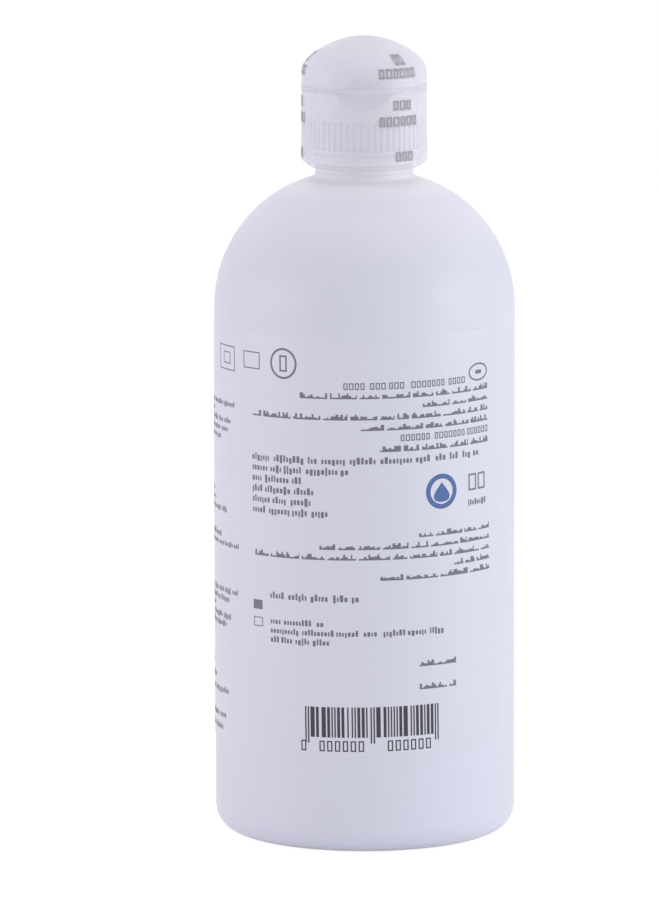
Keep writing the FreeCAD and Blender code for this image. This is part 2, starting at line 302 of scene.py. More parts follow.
def moulded_plastic(name, colour, roughness):
    """Satin moulded plastic: fine mould grain, faint cloudiness and uneven gloss."""
    n = Nodes(name)
    n.cloud = n.cloudy(colour, CLOUD_SCALE, *CLOUD_TINTS)
    n.set(
        Base_Color=n.cloud,
        Roughness=n.ranged(n.noise(GLOSS_SCALE), roughness - GLOSS_SPREAD, roughness + GLOSS_SPREAD),
        IOR=PLASTIC_IOR,
        Specular_IOR_Level=PLASTIC_SPECULAR,
    )
    n.grain = n.bump(n.noise(GRAIN_SCALE, SOFT), GRAIN_DEPTH)
    n.set(Normal=n.grain)
    return n


BOTTLE_ROUGHNESS = 0.42
WALL_WAVES = (28.0, 28.0, 13.0)
WALL_WAVE_DEPTH = 0.22 * MM


def bottle_plastic():
    """Blow-moulded polyethylene with slow waves in its wall, and painted light and shade up the shoulder and
    neck, whiter where shade falls at the neck's foot and under the cap.
    """
    n = moulded_plastic("bottle_plastic", BOTTLE_COLOUR, BOTTLE_ROUGHNESS)
    height = n.height()
    neck = n.graded(height, PAINTED_NECK_LIGHT)
    # Painted light: the shoulder blends into the neck's painted light and shade
    n.set(Base_Color=n.mixed(n.ranged(height, 0.0, 1.0, *NECK_LIGHT_BLEND), n.cloud, neck))
    n.set(Normal=n.bump(n.stretched_noise(WALL_WAVES, SOFT), WALL_WAVE_DEPTH, under=n.grain))
    return n.material


CAP_ROUGHNESS = 0.38
GATE_RADII = (0.9 * MM, 1.3 * MM)
GATE_DEPTH = 0.12 * MM


def cap_plastic():
    """Polypropylene with a soft grain, painted light on its lower lip, where shade falls under the cap, and a
    small round gate mark on top of the lid.
    """
    n = moulded_plastic("cap_plastic", CAP_COLOUR, CAP_ROUGHNESS)
    # Painted light on the lower lip, which is in shade
    lip = n.ranged(n.height(), 1.0, 0.0, *CAP_LIP_REACH)
    n.set(Base_Color=n.mixed(lip, n.cloud, (*CAP_LIP_PAINTED_LIGHT, 1.0)))
    gate = n.ranged(n.off_axis(), 0.0, 1.0, *GATE_RADII)
    n.set(Normal=n.bump(gate, GATE_DEPTH, under=n.grain))
    return n.material


NOZZLE_ROUGHNESS = 0.32
NOZZLE_SCATTER = 0.4
NOZZLE_SCATTER_DEPTH = 1.2 * MM


def nozzle_plastic():
    """Natural polyethylene, waxy and slightly see-through."""
    n = moulded_plastic("nozzle_plastic", NOZZLE_COLOUR, NOZZLE_ROUGHNESS)
    n.set(
        Subsurface_Weight=NOZZLE_SCATTER,
        Subsurface_Scale=NOZZLE_SCATTER_DEPTH,
        Subsurface_Radius=(1.0, 1.0, 1.0),
    )
    return n.material


FOAM_ROUGHNESS = 0.7
FOAM_CELL_SCALE = 3200.0
FOAM_CELL_DEPTH = 0.06 * MM


def washer_foam():
    """White closed-cell foam with small cells."""
    n = moulded_plastic("washer_foam", FOAM_COLOUR, FOAM_ROUGHNESS)
    cells = n.add("ShaderNodeTexVoronoi", Vector=n.place, Scale=FOAM_CELL_SCALE).outputs["Distance"]
    n.set(Normal=n.bump(cells, FOAM_CELL_DEPTH))
    return n.material


LABEL_CLOUD_SCALE = 70.0
LABEL_CLOUD_TINTS = (0.985, 1.01)
LABEL_GLOSS_SCALE = 160.0
LABEL_ROUGHNESS = (0.36, 0.46)
LABEL_RIPPLES = (45.0, 45.0, 20.0)
LABEL_RIPPLE_DEPTH = 0.08 * MM
LABEL_GRAIN_SCALE = 3200.0
LABEL_GRAIN_DEPTH = 0.008 * MM


def label_film():
    """White printed film: faint ripples from its backing, a fine grain and an even gloss."""
    n = Nodes("label_film")
    ripples = n.bump(n.stretched_noise(LABEL_RIPPLES, SOFT), LABEL_RIPPLE_DEPTH)
    n.set(
        Base_Color=n.cloudy(LABEL_COLOUR, LABEL_CLOUD_SCALE, *LABEL_CLOUD_TINTS),
        Roughness=n.ranged(n.noise(LABEL_GLOSS_SCALE), *LABEL_ROUGHNESS),
        Normal=n.bump(n.noise(LABEL_GRAIN_SCALE), LABEL_GRAIN_DEPTH, under=ripples),
        IOR=PLASTIC_IOR,
        Specular_IOR_Level=PLASTIC_SPECULAR,
    )
    return n.material


INK_MOTTLE_SCALE = 900.0
INK_MOTTLE = 0.12
PALE_MOTTLE = 0.06
INK_GLOSS_SCALE = 300.0
INK_ROUGHNESS = (0.4, 0.55)
INK_SPECULAR = 0.35


def printed_ink(name, colour, mottle=INK_MOTTLE):
    """Flat printed ink, a little mottled."""
    n = Nodes(name)
    n.set(
        Base_Color=n.cloudy(colour, INK_MOTTLE_SCALE, 1 - mottle, 1 + mottle),
        Roughness=n.ranged(n.noise(INK_GLOSS_SCALE), *INK_ROUGHNESS),
        Specular_IOR_Level=INK_SPECULAR,
    )
    return n.material


FILM_HAZE_SCALE = 120.0
FILM_HAZE_TINT = 0.97
FILM_COVER = (0.16, 0.215)
FILM_EDGE_BLEND = 0.3
FILM_EDGE_COVER = 0.3
FILM_TOP_COVER = 0.2
FILM_TOP_REACH = 2.5 * MM
# Along the parting line the film is made more opaque and reflects more, to cover the shade of the gap between
# cap and lid
SEAM_SHADE_COVER = 0.62
SEAM_SHADE_REACH = (0.15 * MM, 1.0 * MM)
FILM_PASSING = (0.25, 0.5)
PASSING_REACH = (0.1 * MM, 0.35 * MM)
UPRIGHT_CREASES = (260.0, 260.0, 40.0)
UPRIGHT_CREASE_DEPTH = 0.06 * MM
LEVEL_CREASES = (60.0, 60.0, 420.0)
LEVEL_CREASE_DEPTH = 0.03 * MM
FILM_GLOSS_SCALE = 200.0
FILM_ROUGHNESS = (0.16, 0.26)
FILM_IOR = 1.5
FILM_SPECULAR = 0.7


def shrink_film():
    """Clear film with a milky cast, which scatters light back and lets light through.

    It is finely creased and thinner towards its opening on the dome. Its curl under the cap, which faces down
    into shade, has painted light, and along the parting line it is more opaque and reflects more, to cover
    the gap's shade.
    """
    n = Nodes("sleeve_film")
    height = n.height()
    haze = n.noise(FILM_HAZE_SCALE, FINE)
    edge = n.add("ShaderNodeLayerWeight", Blend=FILM_EDGE_BLEND).outputs["Facing"]
    from_seam = n.math("ABSOLUTE", n.math("SUBTRACT", height, SEAM))
    # Painted cover along the parting line: more opaque film over the gap, which hides the gap's shade
    seam_cover = n.ranged(from_seam, SEAM_SHADE_COVER, 0.0, *SEAM_SHADE_REACH)
    milky = n.math("MULTIPLY_ADD", edge, FILM_EDGE_COVER, n.ranged(haze, *FILM_COVER))
    thinning = n.ranged(height, 1.0, FILM_TOP_COVER, FILM_TOP - FILM_TOP_REACH, FILM_TOP)
    cover = n.math("MULTIPLY", n.math("ADD", milky, seam_cover), thinning)
    upright = n.bump(n.stretched_noise(UPRIGHT_CREASES), UPRIGHT_CREASE_DEPTH)
    creases = n.bump(n.stretched_noise(LEVEL_CREASES), LEVEL_CREASE_DEPTH, under=upright)
    # Painted light: the curl under the cap, which faces down into shade, is painted whiter
    curl = n.ranged(height, 1.0, 0.0, *CURL_REACH)
    colour = n.shades(haze, tint(FILM_COLOUR, FILM_HAZE_TINT), FILM_COLOUR)
    n.set(
        Base_Color=n.mixed(curl, colour, (*CURL_PAINTED_LIGHT, 1.0)),
        Alpha=cover,
        Roughness=n.ranged(n.noise(FILM_GLOSS_SCALE), *FILM_ROUGHNESS),
        Normal=creases,
        IOR=FILM_IOR,
        Specular_IOR_Level=FILM_SPECULAR,
    )
    through = n.add("ShaderNodeBsdfTranslucent", Color=(*FILM_COLOUR, 1.0), Normal=creases).outputs[0]
    clear = n.add("ShaderNodeBsdfTransparent").outputs[0]
    # Near the parting line the film reflects more and lets less through, so the gap's shade does not show
    passing = n.ranged(from_seam, *FILM_PASSING, *PASSING_REACH)
    look = n.mixed_shaders(passing, n.shader.outputs[0], n.mixed_shaders(cover, clear, through))
    n.tree.links.new(look, n.tree.nodes["Material Output"].inputs["Surface"])
    return n.material


BOTTLE = bottle_plastic()
CAP = cap_plastic()
NOZZLE = nozzle_plastic()
WASHER = washer_foam()
FILM = shrink_film()
LABEL = label_film()
INK = printed_ink("label_ink", INK_COLOUR)
BAR_INK = printed_ink("bar_ink", BAR_COLOUR)
BLUE_INK = printed_ink("blue_ink", BLUE_COLOUR)
PALE_INK = printed_ink("pale_blue_ink", PALE_BLUE_COLOUR, PALE_MOTTLE)
SLEEVE_INK = printed_ink("sleeve_ink", SLEEVE_INK_COLOUR)

NODE_LOOKS = {
    "bottle": BOTTLE,
    "cap_base": CAP,
    "flip_lid": CAP,
    "nozzle_insert": NOZZLE,
    "sealing_washer": WASHER,
}
for node_name, look in NODE_LOOKS.items():
    slots = frame["nodes"][node_name].data.materials
    slots.clear()
    slots.append(look)


# Bottle: the lines that its two mould halves leave

MOULD_ANGLES = (80.0, 260.0)
MOULD_LINE_ENDS = (0.8 * MM, CAP_BOTTOM - 2.2 * MM)
MOULD_LINE_STEPS = 160
MOULD_LINE_CROWDING = 2.2
MOULD_LINE_HEIGHT = 0.06 * MM
MOULD_LINE_HALF_WIDTH = 0.18 * MM
PINCH_REACH = 19.0 * MM
PINCH_STEPS = 40
PINCH_HEIGHT = 0.3 * MM
PINCH_HALF_WIDTH = 0.4 * MM
RIDGE_SECTION = ((-1.0, 0.0), (-0.6, 0.62), (0.0, 1.0), (0.6, 0.62), (1.0, 0.0))
RIDGE_TAPER_STEPS = 4
RIDGE_SHARP_ANGLE = 80.0
RIDGE_SUNK = 0.03 * MM


def ridge(name, path, side, out, half_width, height):
    """A low ridge along a path, rounded over and sunk a little into the surface that carries it."""
    verts, faces = [], []
    for index, (point, up) in enumerate(zip(path, out)):
        taper = min(1.0, min(index, len(path) - 1 - index) / RIDGE_TAPER_STEPS)
        for reach, rise in RIDGE_SECTION:
            verts.append(point + side * reach * half_width + up * (rise * height * taper - RIDGE_SUNK))
    size = len(RIDGE_SECTION)
    for step in range(len(path) - 1):
        for k in range(size):
            a, b = step * size + k, step * size + (k + 1) % size
            faces.append((a, b, b + size, a + size))
    faces.append(tuple(range(size))[::-1])
    faces.append(tuple(range(len(verts) - size, len(verts))))
    piece = link(name, verts, faces, BOTTLE, RIDGE_SHARP_ANGLE)
    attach(piece, "bottle")


def mould_line(name, angle):
    """An upright line up the side, with its points closer together towards the neck."""
    low, high = MOULD_LINE_ENDS
    rows = []
    for step in range(MOULD_LINE_STEPS + 1):
        to_go = 1 - step / MOULD_LINE_STEPS
        z = low + (high - low) * (1 - to_go**MOULD_LINE_CROWDING)
        rows.append((outer_radius("bottle", angle, z), z))
    out = []
    for step in range(MOULD_LINE_STEPS + 1):
        (r0, z0), (r1, z1) = rows[max(0, step - 1)], rows[min(MOULD_LINE_STEPS, step + 1)]
        along = math.hypot(r1 - r0, z1 - z0)
        out.append(polar(angle, (z1 - z0) / along, 0.0) - Vector((0, 0, (r1 - r0) / along)))
    path = [polar(angle, r, z) for r, z in rows]
    ridge(name, path, polar(angle + 90.0, 1.0, 0.0), out, MOULD_LINE_HALF_WIDTH, MOULD_LINE_HEIGHT)


def pinch_line():
    """The pinched line across the base."""
    path = []
    for step in range(PINCH_STEPS + 1):
        reach = PINCH_REACH * (2 * step / PINCH_STEPS - 1)
        start = polar(MOULD_ANGLES[0], reach, -FAR_OUT)
        _, place, _, _ = frame["nodes"]["bottle"].ray_cast(start, Vector((0, 0, 1)))
        path.append(place)
    side = polar(MOULD_ANGLES[0] - 90.0, 1.0, 0.0)
    down = [Vector((0, 0, -1))] * len(path)
    ridge("base_pinch_line", path, side, down, PINCH_HALF_WIDTH, PINCH_HEIGHT)


for mould_index, mould_angle in enumerate(MOULD_ANGLES):
    mould_line(f"mould_line_{mould_index}", mould_angle)
pinch_line()


# Label

LABEL_END = 65.0
LABEL_GAP = 30.0
LABEL_STEPS = 220
LABEL_THICKNESS = 0.2 * MM
LABEL_CORNER = 3.0 * MM
LABEL_CORNER_ANGLE = math.degrees(LABEL_CORNER / LABEL_RADIUS)
LABEL_CORNER_STEPS = 9
LABEL_PRESS = 0.13 * MM
LABEL_EDGE_ROWS = (0.0, 0.12 * MM, 0.25 * MM, 0.4 * MM, 0.6 * MM)
LABEL_MIDDLE_ROWS = 8
LABEL_SKEW = math.tan(math.radians(0.76))
INK_LIFT = 0.02 * MM
INK_THICKNESS = 0.03 * MM


def on_label(angle, z, lift=0.0):
    """A point on the label's face, with the label's slight skew."""
    arc = math.radians(angle) * LABEL_RADIUS
    height = z - (LABEL_BOTTOM + LABEL_TOP) / 2
    turned = angle - math.degrees(height * LABEL_SKEW / LABEL_RADIUS)
    return polar(turned, LABEL_RADIUS + lift, z + arc * LABEL_SKEW)


def label_columns(start, end):
    """Angles of the label's columns, close together in its rounded corners."""
    turns = [math.pi / 2 * step / LABEL_CORNER_STEPS for step in range(LABEL_CORNER_STEPS + 1)]
    corner = [LABEL_CORNER_ANGLE * (1 - math.cos(turn)) for turn in turns]
    first = start + LABEL_CORNER_ANGLE
    inner = end - start - 2 * LABEL_CORNER_ANGLE
    columns = [start + inset for inset in corner]
    columns += [first + inner * step / LABEL_STEPS for step in range(1, LABEL_STEPS)]
    return columns + [end - inset for inset in reversed(corner)]


def label_rows(low, high):
    """Heights of the label's rows, close together at its edges."""
    margin = LABEL_EDGE_ROWS[-1]
    inner = high - low - 2 * margin
    middle = [low + margin + inner * step / LABEL_MIDDLE_ROWS for step in range(1, LABEL_MIDDLE_ROWS)]
    below = [low + row for row in LABEL_EDGE_ROWS]
    above = [high - row for row in reversed(LABEL_EDGE_ROWS)]
    return below + middle + above


def label_sheet():
    """The label: one thin sheet round the bottle with rounded corners, pressed down along its edges."""
    start, end = LABEL_END + LABEL_GAP - 360.0, LABEL_END
    columns = label_columns(start, end)
    verts = []
    for angle in columns:
        from_end = min(angle - start, end - angle)
        into_corner = max(0.0, 1 - from_end / LABEL_CORNER_ANGLE)
        inset = LABEL_CORNER * (1 - math.sqrt(max(0.0, 1 - into_corner**2)))
        low, high = LABEL_BOTTOM + inset, LABEL_TOP - inset
        heights = label_rows(low, high)
        for z in heights:
            from_edge = min(math.radians(from_end) * LABEL_RADIUS, z - low, high - z)
            pressed = 1 - smoothstep(from_edge, 0.0, LABEL_EDGE_ROWS[-1])
            verts.append(on_label(angle, z, -LABEL_PRESS * pressed))
    faces = grid_faces(len(columns), len(heights))
    sheet = link("label_sheet", *shell(verts, faces, LABEL_THICKNESS), LABEL)
    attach(sheet, "bottle")
    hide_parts("wrap_label")


# Print

PRINT_STRIP = 1.0 * MM
PRINT_STRIP_MOST = 1.4 * MM
MERGE_DIGITS = 7
BLOCK_CUT = 0.12 * MM
RING_STEPS = 48


class Print:
    """Printed shapes gathered in one thin mesh, laid on a round surface by a function of angle and height."""

    def __init__(self, place, radius):
        self.place = place
        self.radius = radius
        self.index, self.verts, self.faces = {}, [], []

    def degrees(self, length):
        return math.degrees(length / self.radius)

    def corner(self, arc, z):
        key = (round(arc, MERGE_DIGITS), round(z, MERGE_DIGITS))
        if key not in self.index:
            self.index[key] = len(self.verts)
            self.verts.append(self.place(self.degrees(arc), z))
        return self.index[key]

    def shape(self, angle, z, outline):
        """A filled outline of (across, up) points about a place, cut into strips that follow the curve."""
        middle = math.radians(angle) * self.radius
        points = [(middle + across, z + up) for across, up in outline]
        low, high = min(p[0] for p in points), max(p[0] for p in points)
        cuts = [low]
        if high - low > PRINT_STRIP_MOST:
            count = math.ceil((high - low) / PRINT_STRIP)
            cuts += [low + (high - low) * step / count for step in range(1, count)]
        cuts.append(high)
        for left, right in zip(cuts, cuts[1:]):
            piece = points if len(cuts) == 2 else clipped(points, left, right)
            face = []
            for arc, height in piece:
                corner = self.corner(arc, height)
                if corner not in face:
                    face.append(corner)
            if len(face) > 2:
                self.faces.append(tuple(face))

    def block(self, angle, z, width, height, cut=BLOCK_CUT):
        """A small block with cut corners, from its lower left corner."""
        c = min(cut, width / 3, height / 3)
        self.shape(angle, z, [
            (c, 0), (width - c, 0), (width, c), (width, height - c),
            (width - c, height), (c, height), (0, height - c), (0, c),
        ])

    def ring(self, angle, z, across, up, line):
        """A round or oval outline about a centre, from its two radii."""
        turns = [2 * math.pi * step / RING_STEPS for step in range(RING_STEPS + 1)]
        for a, b in zip(turns, turns[1:]):
            outline = []
            for turn, inset in ((a, 0.0), (b, 0.0), (b, line), (a, line)):
                outline.append(((across - inset) * math.cos(turn), (up - inset) * math.sin(turn)))
            self.shape(angle, z, outline)

    def outline_box(self, angle, z, width, height, line):
        """A rectangular outline from its lower left corner."""
        upright = height - 2 * line
        self.shape(angle, z, [(0, 0), (width, 0), (width, line), (0, line)])
        self.shape(angle, z + height - line, [(0, 0), (width, 0), (width, line), (0, line)])
        for offset in (0.0, width - line):
            left = angle + self.degrees(offset)
            self.shape(left, z + line, [(0, 0), (line, 0), (line, upright), (0, upright)])

    def finish(self, name, material, body):
        printed = link(name, *shell(self.verts, self.faces, INK_THICKNESS), material)
        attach(printed, body)


def clipped(points, left, right):
    """The part of an outline between two upright lines."""
    for limit, side in ((left, 1.0), (right, -1.0)):
        kept = []
        for (x0, y0), (x1, y1) in zip(points, points[1:] + points[:1]):
            inside = side * (x0 - limit) >= 0
            if inside:
                kept.append((x0, y0))
            if inside != (side * (x1 - limit) >= 0):
                kept.append((limit, y0 + (y1 - y0) * (limit - x0) / (x1 - x0)))
        points = kept
    return points


# Blank words, with their measures as shares of the words' size
PLAIN_WIDTHS = (0.17, 0.36)
PLAIN_RISES = (0.5, 0.5, 0.54, 0.74)
PLAIN_DROPS = (0.0, 0.0, 0.0, 0.0, 0.16)
PLAIN_SPACE = 0.14
BOX_WIDTHS = (0.38, 0.5)
BOX_HEIGHT = 0.72
BOX_LINE = 0.115
BOX_SPACE = 0.15
RAGGED_LINE = 0.17
RAGGED_WIDTHS = (0.14, 0.34)
RAGGED_RISES = (0.0, 0.0, 0.12, 0.2, 0.26, 0.46)
WORD_LENGTHS = (1.2, 4.2)
WORD_LEAST = 1.2
WORD_SPACE = 0.3
LINE_END = 0.8


def plain_word(ink, angle, z, length, size, rng):
    """A blank word of small blocks with the rhythm of print."""
    across = 0.0
    while True:
        width = size * rng.uniform(*PLAIN_WIDTHS)
        if across + width > length:
            return
        rise = rng.choice(PLAIN_RISES)
        drop = rng.choice(PLAIN_DROPS)
        ink.block(angle + ink.degrees(across), z - drop * size, width, (rise + drop) * size)
        across += width + size * PLAIN_SPACE


def bold_word(ink, angle, z, length, size, rng):
    """A blank word of even tall boxes."""
    across = 0.0
    while True:
        width = size * rng.uniform(*BOX_WIDTHS)
        if across + width > length:
            return
        ink.outline_box(angle + ink.degrees(across), z, width, size * BOX_HEIGHT, size * BOX_LINE)
        across += width + size * BOX_SPACE


def ragged_word(ink, angle, z, length, size, rng):
    """A blank word in one stroke with a ragged top."""
    tops, across = [], 0.0
    while across < length:
        width = min(size * rng.uniform(*RAGGED_WIDTHS), length - across)
        rise = size * (RAGGED_LINE + rng.choice(RAGGED_RISES))
        tops += [(across, rise), (across + width, rise)]
        across += width
    if len(tops) > 2:
        ink.shape(angle, z, [(0.0, 0.0), (length, 0.0), *reversed(tops)])


WORD_STYLES = {"plain": plain_word, "bold": bold_word, "ragged": ragged_word}


def line_of_words(ink, style, angle, z, length, size, rng):
    """A line of blank words that fills a length, with no letters in it."""
    across = 0.0
    while across < length - LINE_END * size:
        word = min(size * rng.uniform(*WORD_LENGTHS), length - across)
        if length - across - word < WORD_LEAST * size:
            word = length - across
        WORD_STYLES[style](ink, angle + ink.degrees(across), z, word, size, rng)
        across += word + size * WORD_SPACE


# The label's front and left side. Lengths and heights in the tables are in mm.
# Blank paragraphs: style, side that lines up and its angle, height of the first line, pitch of the lines
# and their lengths
PARAGRAPHS = (
    ("bold", "right", 41.8, 108.9, 2.47, (30.0,)),
    ("ragged", "right", 54.3, 106.75, 2.465, (48.2, 19.2, 61.8, 33.8)),
    ("bold", "right", 54.3, 96.7, 2.47, (24.6,)),
    ("ragged", "right", 54.3, 94.35, 2.47, (29.5,)),
    ("plain", "left", -47.0, 91.6, 2.45, (59.3, 26.0, 14.7, 17.7, 16.6, 20.3)),
    ("ragged", "right", 54.8, 74.1, 2.42, (20.8, 44.2, 61.8, 11.7, 30.1)),
    ("plain", "left", -38.6, 59.55, 2.5, (22.6,)),
    ("plain", "left", -38.6, 53.6, 2.15, (14.2, 43.0, 15.1)),
    ("ragged", "right", 36.2, 43.9, 5.4, (9.7, 9.7)),
    ("plain", "left", -128.0, 102.7, 2.0, (43.0, 29.0, 41.5, 40.0, 35.0, 22.0)),
    ("plain", "left", -128.0, 81.7, 2.0, (28.0, 30.0, 38.7, 26.0, 17.0, 35.3, 44.2, 12.0)),
    ("plain", "left", -128.0, 60.7, 2.0, (24.0, 44.0, 39.5, 29.0, 40.6, 37.7, 18.0)),
    ("plain", "left", -128.0, 40.7, 2.95, (26.0, 30.0, 39.3, 21.0, 37.5, 35.3)),
)
WORD_SIZE = 2.15 * MM
WORD_SHARE = 0.9
# A short blank note: angle and height of its left end, and its length
NOTE_PLACE = (43.0, 80.2 * MM)
NOTE_LENGTH = 6.0 * MM
NOTE_SIZE = WORD_SIZE * 0.85
# Rings: angle and height of the centre, radius across, radius up, line
RINGS = (
    (-31.3, 114.5, 3.6, 3.6, 0.5),
    (49.0, 111.0, 3.2, 2.1, 0.4),
)
# Boxes: angle and height of the lower left corner, width, height, line
BOXES = (
    (-32.9, 112.6, 2.0, 3.8, 0.4),
    (-71.0, 111.2, 8.2, 5.8, 0.26),
    (-66.9, 112.7, 3.6, 2.8, 0.26),
    (-51.6, 112.6, 5.6, 4.0, 0.26),
    (43.2, 83.6, 2.5, 3.9, 0.42),
    (48.2, 83.6, 2.5, 3.9, 0.42),
    (-47.2, 52.6, 2.9, 2.2, 0.22),
)
# Blocks: angle and height of the lower left corner, width, height
BLOCKS = (
    (47.4, 110.55, 2.0, 0.9),
    (-47.3, 56.6, 2.9, 2.2),
)
WORDS_SEED = 11


def label_ink():
    return Print(lambda angle, z: on_label(angle, z, INK_LIFT), LABEL_RADIUS)


def print_words():
    """The label's blank paragraphs and its plain outlines."""
    rng = random.Random(WORDS_SEED)
    ink = label_ink()
    for style, side, edge, top, pitch, lengths in PARAGRAPHS:
        size = min(WORD_SIZE, WORD_SHARE * pitch * MM)
        for index, length in enumerate(lengths):
            start = edge if side == "left" else edge - ink.degrees(length * MM)
            line_of_words(ink, style, start, (top - index * pitch) * MM, length * MM, size, rng)
    line_of_words(ink, "plain", *NOTE_PLACE, NOTE_LENGTH, NOTE_SIZE, rng)
    for draw, places in ((ink.ring, RINGS), (ink.outline_box, BOXES), (ink.block, BLOCKS)):
        for angle, *lengths in places:
            draw(angle, *(length * MM for length in lengths))
    ink.finish("label_words", INK, "bottle")


BAR_LEFT = -24.0
BAR_MODULE = 0.336 * MM
BAR_BOTTOM = 27.8 * MM
BAR_HEIGHT = 7.1 * MM
BAR_CUT = 0.02 * MM
BAR_GUARDS = (0, 2, 46, 48, 92, 94)
BAR_GUARD_DROP = 1.4 * MM
BAR_RUNS = ((4, 45), (50, 91))
BAR_WIDTHS = (1, 1, 2, 2, 3)
BAR_SPACES = (1, 1, 2)
BARS_SEED = 5
NUMBER_STARTS = (-18.4, 7.6)
NUMBER_BOXES = 6
NUMBER_PITCH = 3.0
NUMBER_LEAD = 1.7
NUMBER_BOTTOM = 24.5 * MM
NUMBER_SIZE = (1.25 * MM, 2.5 * MM)
NUMBER_LINE = 0.3 * MM


def print_bars():
    """A block of upright bars of made-up widths over blank boxes, which stands for no number."""
    rng = random.Random(BARS_SEED)
    ink = label_ink()

    def bar(module, width, drop):
        left = BAR_LEFT + ink.degrees(module * BAR_MODULE)
        ink.block(left, BAR_BOTTOM - drop, width * BAR_MODULE, BAR_HEIGHT + drop, BAR_CUT)

    for module in BAR_GUARDS:
        bar(module, 1, BAR_GUARD_DROP)
    for first, last in BAR_RUNS:
        at = first
        while at < last:
            width = min(rng.choice(BAR_WIDTHS), last - at)
            bar(at, width, 0.0)
            at += width + rng.choice(BAR_SPACES)
    lefts = [BAR_LEFT - NUMBER_LEAD]
    for first in NUMBER_STARTS:
        lefts += [first + step * NUMBER_PITCH for step in range(NUMBER_BOXES)]
    for left in lefts:
        ink.outline_box(left, NUMBER_BOTTOM, *NUMBER_SIZE, NUMBER_LINE)
    ink.finish("label_bars", BAR_INK, "bottle")


DROP_STEPS = 48
DROP_HALF_WIDTH = 0.62
DROP_HALF_HEIGHT = 0.48
DROP_POINT = 1.6


def drop_outline(size):
    """A liquid drop with its point up, as an outline about its centre."""
    points = []
    for step in range(DROP_STEPS):
        turn = -2 * math.pi * step / DROP_STEPS
        across = DROP_HALF_WIDTH * size * math.sin(turn) * abs(math.sin(turn / 2)) ** DROP_POINT
        points.append((across, DROP_HALF_HEIGHT * size * math.cos(turn)))
    return points


MARK_ANGLE = 30.6
MARK_HEIGHT = 84.35 * MM
MARK_RADIUS = 4.1 * MM
MARK_LINE = 1.15 * MM
MARK_DROP_HEIGHT = 84.2 * MM
MARK_DROP_SIZE = 4.9 * MM

# The side away from the camera
PANEL_MIDDLE = 166.0
PANEL_HALF = 52.0
PANEL_DROP_HEIGHT = 56.0 * MM
PANEL_DROP_SIZE = 22.0 * MM
PANEL_SEED = 3
# Blank lines: height, length and size of the words, in mm
PANEL_LINES = ((92.0, 46.0, 7.5), (80.5, 34.0, 4.0), (75.0, 40.0, 4.0))
# Waves: lower and upper height in mm, and phase
PANEL_WAVES = ((26.0, 33.0, 0.0), (35.0, 37.5, 0.8))
WAVE_STEPS = 90
WAVE_RISE = 1.6
WAVE_COUNT = 4.0


def print_marks():
    """A round blue mark with a plain drop, and a plain design for the side away from the camera."""
    blue = label_ink()
    blue.ring(MARK_ANGLE, MARK_HEIGHT, MARK_RADIUS, MARK_RADIUS, MARK_LINE)
    blue.shape(MARK_ANGLE, MARK_DROP_HEIGHT, drop_outline(MARK_DROP_SIZE))
    rng = random.Random(PANEL_SEED)
    for z, length, size in PANEL_LINES:
        start = PANEL_MIDDLE - blue.degrees(length * MM / 2)
        line_of_words(blue, "plain", start, z * MM, length * MM, size * MM, rng)
    blue.finish("label_blue_marks", BLUE_INK, "bottle")
    pale = label_ink()
    pale.shape(PANEL_MIDDLE, PANEL_DROP_HEIGHT, drop_outline(PANEL_DROP_SIZE))
    for low, high, phase in PANEL_WAVES:
        columns = []
        for step in range(WAVE_STEPS + 1):
            angle = PANEL_MIDDLE - PANEL_HALF + 2 * PANEL_HALF * step / WAVE_STEPS
            wave = WAVE_RISE * math.sin(math.radians(WAVE_COUNT * (angle - PANEL_MIDDLE)) + phase)
            arc = math.radians(angle) * pale.radius
            columns.append((pale.corner(arc, (low + wave / 2) * MM), pale.corner(arc, (high + wave) * MM)))
        for (a, d), (b, c) in zip(columns, columns[1:]):
            pale.faces.append((a, b, c, d))
    pale.finish("label_pale_marks", PALE_INK, "bottle")


label_sheet()
print_words()
print_bars()
print_marks()


# Shrink sleeve

FILM_SHEET = 0.06 * MM
FILM_PROBES = 240
FILM_PROBE_INSET = 0.02 * MM
LOWER_STEPS = 96
UPPER_STEPS = 72
SEAM_HALF = 0.01 * MM
AROUND_STEPS = 150
WINDOW_STEPS = 24
WINDOW_HALF = 22.7
WINDOW_MIDDLE = 180.0


def film_rows(node_name, low, high):
    """Outer (radius, height) points of a CAD film from its lower to its upper edge."""
    rows = []
    for step in range(FILM_PROBES + 1):
        z = low + (high - low) * step / FILM_PROBES
        probe = min(max(z, low + FILM_PROBE_INSET), high - FILM_PROBE_INSET)
        rows.append((outer_radius(node_name, 0.0, probe), z))
    return rows


def spread_rows(rows, count):
    """The same line with evenly spaced points along it."""
    lengths = [0.0]
    for (r0, z0), (r1, z1) in zip(rows, rows[1:]):
        lengths.append(lengths[-1] + math.hypot(r1 - r0, z1 - z0))
    spread, k = [], 0
    for step in range(count + 1):
        target = lengths[-1] * step / count
        while k < len(rows) - 2 and lengths[k + 1] < target:
            k += 1
        t = (target - lengths[k]) / (lengths[k + 1] - lengths[k])
        spread.append(tuple(a + (b - a) * t for a, b in zip(rows[k], rows[k + 1])))
    return spread


LOWER_ROWS = spread_rows(film_rows("sleeve_lower", FILM_BOTTOM, PARTING), LOWER_STEPS)
UPPER_ROWS = spread_rows(film_rows("sleeve_upper", LID_BOTTOM, FILM_TOP), UPPER_STEPS)
LOWER_ROWS[-1] = (LOWER_ROWS[-1][0], SEAM - SEAM_HALF)
UPPER_ROWS[0] = (UPPER_ROWS[0][0], SEAM + SEAM_HALF)


def film_radius(rows, z):
    """Radius of a film's line at a height."""
    for (r0, z0), (r1, z1) in zip(rows, rows[1:]):
        if z <= z1:
            return r0 + (r1 - r0) * max(0.0, (z - z0) / (z1 - z0))
    return rows[-1][0]


